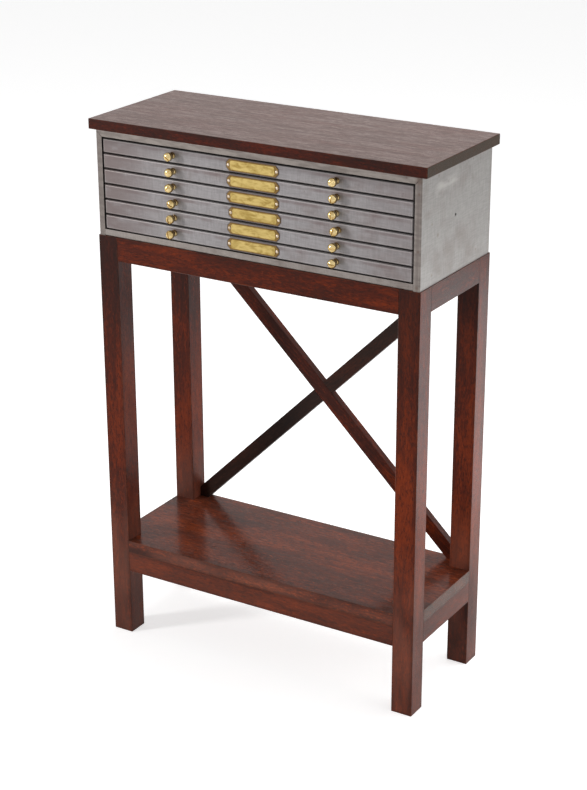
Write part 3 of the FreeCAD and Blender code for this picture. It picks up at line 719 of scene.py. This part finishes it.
# painted highlight of a dent on the right side
DENT_HIGHLIGHT = (184, 180, 176)
BACK_EDGE_SHADE = (116, 110, 104)

# places on the case: X across a flange, Y from the case's middle on its side, Z up
STRIPE_AT = (295.5 * MM, 300.5 * MM)
LEFT_SHADE_FROM, LEFT_SHADE_FULL = -288.0 * MM, -296.0 * MM
# where the painted dent highlight lies on the right side
DENT_HIGHLIGHT_ALONG = (-70.0 * MM, -5.0 * MM)
DENT_HIGHLIGHT_UP = (893.0 * MM, 906.0 * MM)
# how far in from the case's front, right and back its flanges, side and painted back-edge shade
# reach
FACE_FROM, FACE_FULL = 2.2 * MM, 1.4 * MM
SIDE_FROM, SIDE_FULL = 1.2 * MM, 0.6 * MM
BACK_FROM, BACK_FULL = 12.0 * MM, 1.0 * MM

# small rust and grime marks in millimetres: across, up, radius
FACE_MARKS = (
    (299.0, 900.0, 2.2), (299.0, 810.0, 2.6), (298.0, 752.0, 3.0), (277.0, 923.0, 1.8),
    (29.0, 749.0, 5.0), (-210.0, 749.5, 4.0), (299.0, 921.0, 7.0),
)
SIDE_MARKS = (
    (-83.0, 763.0, 2.6), (70.0, 765.0, 2.4), (-65.0, 823.0, 3.6), (-85.0, 845.0, 2.2),
    (-66.0, 917.0, 2.4), (52.0, 918.0, 1.6),
)


def mark(tree, across, up, spot):
    """A soft round mark at one place."""
    side, height, radius = spot
    first = calculate(tree, "POWER", less(tree, across, side * MM), 2.0)
    second = calculate(tree, "POWER", less(tree, up, height * MM), 2.0)
    away = calculate(tree, "SQRT", calculate(tree, "ADD", first, second))
    return between(tree, away, 1.5 * radius * MM, 0.2 * radius * MM)


def flange_wear(tree, colour, x, z, on_face, rough):
    """The face flanges: browner steel, a stripe and a shade at the ends, and small marks."""
    blotches = between(tree, rough, 0.36, 0.66)
    face = blend_colours(tree, blotches, paint(*FLANGE_CLEAN), paint(*FLANGE_BROWN))
    colour = blend_colours(tree, times(tree, on_face, 0.8), colour, face)
    stripe = times(tree, band(tree, x, *STRIPE_AT, soft=1.6 * MM), on_face)
    colour = toned(tree, colour, stripe, FLANGE_STRIPE, 0.5)
    shade = times(tree, between(tree, x, LEFT_SHADE_FROM, LEFT_SHADE_FULL), on_face)
    colour = toned(tree, colour, shade, FLANGE_SHADE, 0.5)
    for spot in FACE_MARKS:
        seen = times(tree, mark(tree, x, z, spot), on_face)
        colour = toned(tree, colour, seen, FLANGE_MARK, 0.6)
    return colour


def side_marks_and_highlight(tree, colour, along, z, on_side, rough):
    """The right side: small marks, and a painted highlight of a dent under the board."""
    for spot in SIDE_MARKS:
        seen = times(tree, mark(tree, along, z, spot), on_side)
        colour = toned(tree, colour, seen, SIDE_MARK, 0.5)
    # painted highlight of a dent, in broken patches
    in_length = band(tree, along, *DENT_HIGHLIGHT_ALONG, soft=14.0 * MM)
    in_height = band(tree, z, *DENT_HIGHLIGHT_UP, soft=6.0 * MM)
    dent_glint = times(tree, times(tree, in_length, in_height), on_side)
    dent_glint = times(tree, dent_glint, between(tree, rough, 0.3, 0.6))
    return toned(tree, colour, dent_glint, DENT_HIGHLIGHT, 0.6)


def shell_steel():
    """The case's sheet: smooth pale sides, streaked flanges and a few brown marks."""
    material, tree, shader = new_finish("shell_steel")
    seed = (0.0, 0.0, 0.0)
    colour, share, marks = steel_base(tree, seed, CASE_CLEAN, CASE_BROWN, spots=0.3)
    place = object_place(tree)
    x, y, z = axes(tree, place)
    middle, half = piece_box("case_shell")
    rough = drawn_cloud(tree, place, (30.0, 30.0, 120.0), move=(3.0, 0, 0))
    front = middle.y - half.y
    on_face = between(tree, y, front + FACE_FROM, front + FACE_FULL)
    colour = flange_wear(tree, colour, x, z, on_face, rough)
    right = middle.x + half.x
    on_side = between(tree, x, right - SIDE_FROM, right - SIDE_FULL)
    along = less(tree, y, middle.y)
    colour = side_marks_and_highlight(tree, colour, along, z, on_side, rough)
    # painted shade along the back edge of the case
    back = between(tree, along, half.y - BACK_FROM, half.y - BACK_FULL)
    colour = toned(tree, colour, back, BACK_EDGE_SHADE, 0.3)
    steel_shader(tree, shader, colour, share, marks, 0.42)
    return material


# ----------------------------------------------------------------------------------------
# Finishes on the frame's pieces
# ----------------------------------------------------------------------------------------

# each leg, and how much lighter its wood is than the other pieces'
LEGS = (
    ("front_left_leg", -0.01), ("front_right_leg", 0.04),
    ("back_left_leg", -0.03), ("back_right_leg", 0.0),
)
# the grain of each side's rails, and a seed for each ring of rails
RAIL_SIDES = (("front", ALONG_X), ("back", ALONG_X), ("left", ALONG_Y), ("right", ALONG_Y))
RAIL_RINGS = (("upper", 0.6), ("lower", 2.9))

SHELF_LOOK = dict(
    body=(104, 36, 12), light=(158, 66, 24), mottled=0.9, roughness=0.15, gloss=0.13,
    floor_reflection=0.24, end_grain=0.5, dust_and_sheen=0.12, dust_and_sheen_tint=(142, 86, 58),
)
RISING_LOOK = dict(dark=(34, 20, 16), body=(50, 30, 23), light=(72, 34, 22))
FALLING_LOOK = dict(body=(74, 30, 20))
# the board's pale top is a dust film and also painted sheen
BOARD_LOOK = dict(
    dark=(38, 18, 13), body=(84, 29, 15), light=(112, 38, 17), roughness=0.42,
    end_grain=0.8, dust_and_sheen=0.85, dust_and_sheen_tint=(130, 112, 107),
)

BOTTOM_LOOK = dict(clean=(140, 132, 127), brown=(116, 105, 100))
BACK_LOOK = dict(clean=(146, 143, 139), brown=(137, 131, 126))
RUNNER_LOOK = dict(clean=(124, 122, 120), brown=(106, 100, 95), roughness=0.5)
TRAY_LOOK = dict(clean=(132, 130, 130), brown=(118, 112, 109), roughness=0.5)
NAIL_LOOK = dict(
    clean=(196, 180, 160), brown=(160, 140, 118), roughness=0.34, metal=0.9, spots=0.0
)
SCREW_LOOK = dict(clean=(150, 148, 145), brown=(100, 90, 80), roughness=0.4, metal=0.9)
PLATE_LOOK = dict(bright=(178, 156, 98), dull=(138, 115, 60), roughness=0.36)
KNOB_LOOK = dict(bright=(212, 190, 138), dull=(166, 136, 82), roughness=0.16)


def finish_node(name, material):
    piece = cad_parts[name]
    if not piece.material_slots:
        piece.data.materials.append(material)
    for slot in piece.material_slots:
        slot.material = material


def finish_stand():
    for number, (leg, lighter) in enumerate(LEGS):
        wood = stained_wood(
            f"{leg}_wood", ALONG_Z, (number * 1.7, 3.1, 0.4), piece_box(leg),
            brightness=lighter, darkening=0.6, floor_reflection=0.2,
        )
        finish_node(leg, wood)
    for ring, ring_seed in RAIL_RINGS:
        for number, (side, turn) in enumerate(RAIL_SIDES):
            rail = f"{side}_{ring}_rail"
            seed = (number * 2.3, 1.1, ring_seed)
            wood = stained_wood(f"{rail}_wood", turn, seed, piece_box(rail), floor_reflection=0.12)
            finish_node(rail, wood)
    shelf = stained_wood(
        "shelf_wood", ALONG_X, (0.3, 0.9, 5.2), piece_box("shelf_board"), **SHELF_LOOK
    )
    finish_node("shelf_board", shelf)
    rising = stained_wood(
        "rising_wood", (0.0, BRACE_SLOPE, 0.0), (4.1, 0.2, 0.2), **RISING_LOOK
    )
    finish_node("brace_rising", rising)
    falling = stained_wood(
        "falling_wood", (0.0, -BRACE_SLOPE, 0.0), (2.2, 0.5, 0.9), **FALLING_LOOK
    )
    finish_node("brace_falling", falling)
    board = stained_wood(
        "board_wood", ALONG_X, (7.7, 0.1, 1.3), piece_box("top_board"), **BOARD_LOOK
    )
    finish_node("top_board", board)


def finish_metal():
    finish_node("case_shell", shell_steel())
    finish_node("case_bottom", bare_steel("floor_steel", (4.0, 2.0, 0.0), **BOTTOM_LOOK))
    finish_node("case_back", bare_steel("back_steel", (6.0, 2.0, 0.0), **BACK_LOOK))
    runners = bare_steel("runner_steel", (2.0, 1.0, 0.0), **RUNNER_LOOK)
    for panel in ("left_runner_panel", "right_runner_panel"):
        finish_node(panel, runners)
    tray = bare_steel("tray_steel", (3.0, 1.0, 0.0), **TRAY_LOOK)
    for number in range(1, DRAWERS + 1):
        finish_node(f"drawer_{number}_front", front_steel(number))
        finish_node(f"drawer_{number}_tray", tray)
        plate = f"drawer_{number}_label_plate"
        brass = old_brass(
            f"plate_{number}_brass", (number, 0.0, 0.0), plate=piece_box(plate), **PLATE_LOOK
        )
        finish_node(plate, brass)


# ----------------------------------------------------------------------------------------
# Turned and driven fittings
# ----------------------------------------------------------------------------------------

TOWARDS_FRONT = Matrix.Rotation(math.radians(90.0), 4, "X")
TOWARDS_BACK = Matrix.Rotation(math.radians(-90.0), 4, "X")
UPWARDS = Matrix.Identity(4)
DOWNWARDS = Matrix.Rotation(math.radians(180.0), 4, "X")
SHARP_EDGE = math.radians(35.0)
MERGE_DISTANCE = 0.01 * MM

# half outlines in millimetres: distance from the axis, height
KNOB_OUTLINE = (
    (0.0, 0.0), (5.2, 0.0), (5.6, 0.5), (5.7, 1.5), (5.4, 2.6), (4.8, 3.6), (4.4, 4.6),
    (4.3, 5.5), (4.5, 6.3), (5.2, 7.2), (6.3, 8.4), (7.1, 9.9), (7.4, 11.5), (7.4, 13.2),
    (7.1, 14.7), (6.4, 16.0), (4.9, 17.5), (2.6, 18.5), (0.0, 18.8),
)
NAIL_OUTLINE = ((0.0, 0.0), (2.4, 0.0), (2.5, 0.2), (2.1, 0.7), (1.1, 1.05), (0.0, 1.1))
SCREW_OUTLINE = ((0.0, 0.0), (3.4, 0.0), (3.4, 0.8), (2.8, 1.6), (1.5, 1.9), (0.0, 1.9))
RIVET_OUTLINE = ((0.0, 0.0), (2.9, 0.0), (2.95, 0.2), (2.3, 0.95), (1.2, 1.35), (0.0, 1.45))

# short lines between two points of a knob's outline, and steps round each turned fitting
KNOB_CURVE = 4
KNOB_STEPS, NAIL_STEPS, HEAD_STEPS = 64, 16, 20

# screwdriver slots: half the width, and the height of the slot's floor
KNOB_SLOT = (1.0 * MM, 16.0 * MM)
SCREW_SLOT = (0.45 * MM, 0.8 * MM)
# how far each knob's slot is turned, in degrees: left and right knob, from the top drawer
SLOT_ANGLES = ((50, -50), (-60, -4), (-38, 2), (64, -18), (8, -80), (12, 84))

# sheet thicknesses, and how far fittings sit from the middle of what they hold
CASE_SHEET = 1.2 * MM
TRAY_SHEET = 1.0 * MM
PLATE_SHEET = 0.7 * MM
KNOB_RADIUS = 7.4 * MM
NAIL_ACROSS = 45.1 * MM
SCREW_ACROSS, SCREW_DEEP = 230.0 * MM, 75.0 * MM
# rivets of the back: distance from the middle, and the two heights above the case's foot
RIVET_PAIRS = ((150.0 * MM, (6.0 * MM, 175.0 * MM)), (297.65 * MM, (45.0 * MM, 136.0 * MM)))
BOTH_SIDES = (-1, 1)


def rounded_outline(outline, parts):
    """The same outline with a smooth curve of short lines between its points."""
    points = [Vector(point) for point in outline]
    across_axis = Vector((-points[-2].x, points[-2].y))
    rounded = [points[0]]
    for before, start, end, after in zip(
        points, points[1:], points[2:], points[3:] + [across_axis]
    ):
        for step in range(parts):
            along = step / parts
            straight = 2 * start + (end - before) * along
            bend = (2 * before - 5 * start + 4 * end - after) * along ** 2
            sway = (3 * start - before - 3 * end + after) * along ** 3
            rounded.append(0.5 * (straight + bend + sway))
    rounded.append(points[-1])
    return [(max(0.0, point.x), max(0.0, point.y)) for point in rounded]


def turned(shape, outline, steps):
    """Turn a half outline round Z, from the axis back to the axis."""
    rim = [shape.verts.new((radius * MM, 0.0, height * MM)) for radius, height in outline]
    edges = [shape.edges.new(pair) for pair in zip(rim, rim[1:])]
    bmesh.ops.spin(
        shape, geom=rim + edges, axis=(0.0, 0.0, 1.0), cent=(0.0, 0.0, 0.0),
        angle=math.tau, steps=steps, use_merge=True,
    )
    bmesh.ops.remove_doubles(shape, verts=shape.verts, dist=MERGE_DISTANCE)
    bmesh.ops.recalc_face_normals(shape, faces=shape.faces)


def cut_slot(shape, half_width, floor):
    """Saw a straight, flat-bottomed screwdriver slot across a turned head."""
    for side in BOTH_SIDES:
        bmesh.ops.bisect_plane(
            shape, geom=shape.verts[:] + shape.edges[:] + shape.faces[:],
            plane_co=(side * half_width, 0.0, 0.0), plane_no=(1.0, 0.0, 0.0),
        )
    middle = [
        face for face in shape.faces
        if abs(face.calc_center_median().x) < half_width and face.calc_center_median().z > floor
    ]
    sunk = bmesh.ops.extrude_face_region(shape, geom=middle)["geom"]
    for item in sunk:
        if isinstance(item, bmesh.types.BMVert):
            item.co.z = floor
    bmesh.ops.delete(shape, geom=middle, context="FACES")
    bmesh.ops.remove_doubles(shape, verts=shape.verts, dist=MERGE_DISTANCE)


def fitting(name, body, outline, places, turn, material, steps=HEAD_STEPS, slot=None, spins=None):
    """One piece holding a copy of a turned fitting at each place."""
    pattern = bmesh.new()
    turned(pattern, outline, steps)
    if slot:
        cut_slot(pattern, *slot)
    single = mesh_of(pattern, f"{name}_pattern")
    shape = bmesh.new()
    for spot, spin in zip(places, spins or [0] * len(places)):
        start = len(shape.verts)
        shape.from_mesh(single)
        shape.verts.ensure_lookup_table()
        own_turn = turn @ Matrix.Rotation(math.radians(spin), 4, "Z")
        bmesh.ops.transform(
            shape, matrix=Matrix.Translation(Vector(spot)) @ own_turn, verts=shape.verts[start:]
        )
    bpy.data.meshes.remove(single)
    for face in shape.faces:
        face.smooth = True
    for edge in shape.edges:
        edge.smooth = len(edge.link_faces) < 2 or edge.calc_face_angle() < SHARP_EDGE
    piece = add_object(name, mesh_of(shape, name))
    piece.data.materials.append(material)
    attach(piece, body)
    return piece


def front_face(node):
    """How far forward a node's front lies, along Y."""
    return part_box(node)[0][1]


def fit_drawer(number, knob, nail, screw):
    """Knobs, plate nails and knob screws of one drawer."""
    body = f"drawer_{number}"
    middle, half = piece_box(f"{body}_knobs")
    face = front_face(f"{body}_front")
    spacing = half.x - KNOB_RADIUS
    spots = [(middle.x + side * spacing, face, middle.z) for side in BOTH_SIDES]
    outline = rounded_outline(KNOB_OUTLINE, KNOB_CURVE)
    knobs = fitting(
        f"{body}_turned_knobs", body, outline, spots, TOWARDS_FRONT, knob, KNOB_STEPS,
        slot=KNOB_SLOT, spins=SLOT_ANGLES[number - 1],
    )
    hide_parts(f"{body}_knobs")
    plate, reach = piece_box(f"{body}_label_plate")
    tab = plate.y + reach.y - PLATE_SHEET
    nails = [(plate.x + side * NAIL_ACROSS, tab, plate.z) for side in BOTH_SIDES]
    fitting(f"{body}_plate_nails", body, NAIL_OUTLINE, nails, TOWARDS_FRONT, nail, NAIL_STEPS)
    inside = front_face(f"{body}_tray") + TRAY_SHEET
    heads = [(x, inside, z) for x, _, z in spots]
    fitting(
        f"{body}_knob_screws", body, SCREW_OUTLINE, heads, TOWARDS_BACK, screw, slot=SCREW_SLOT
    )


def fit_cabinet(screw):
    """Rivets of the back, and the screws that hold the case to the stand and the board."""
    middle, half = piece_box("case_shell")
    back = middle.y + half.y
    low, high = middle.z - half.z, middle.z + half.z
    rivets = [
        (side * across, back, low + up)
        for across, heights in RIVET_PAIRS for side in BOTH_SIDES for up in heights
    ]
    fitting("back_rivets", "cabinet", RIVET_OUTLINE, rivets, TOWARDS_BACK, screw)
    corners = [
        (across * SCREW_ACROSS, middle.y + deep * SCREW_DEEP)
        for across in BOTH_SIDES for deep in BOTH_SIDES
    ]
    for name, height, way in (
        ("stand_screws", low + CASE_SHEET, UPWARDS), ("board_screws", high - CASE_SHEET, DOWNWARDS)
    ):
        heads = [(x, y, height) for x, y in corners]
        fitting(name, "cabinet", SCREW_OUTLINE, heads, way, screw, slot=SCREW_SLOT)


def add_fittings():
    face = front_face("drawer_1_front")
    knob = old_brass("knob_brass", (1.0, 0.0, 0.0), neck=face, **KNOB_LOOK)
    nail = bare_steel("nail_steel", (8.0, 0.0, 0.0), **NAIL_LOOK)
    screw = bare_steel("screw_steel", (5.0, 0.0, 0.0), **SCREW_LOOK)
    for number in range(1, DRAWERS + 1):
        fit_drawer(number, knob, nail, screw)
    fit_cabinet(screw)


set_camera()
set_world()
set_floor()
set_lights()
finish_stand()
finish_metal()
add_fittings()

bpy.context.scene.view_settings.view_transform = "Standard"
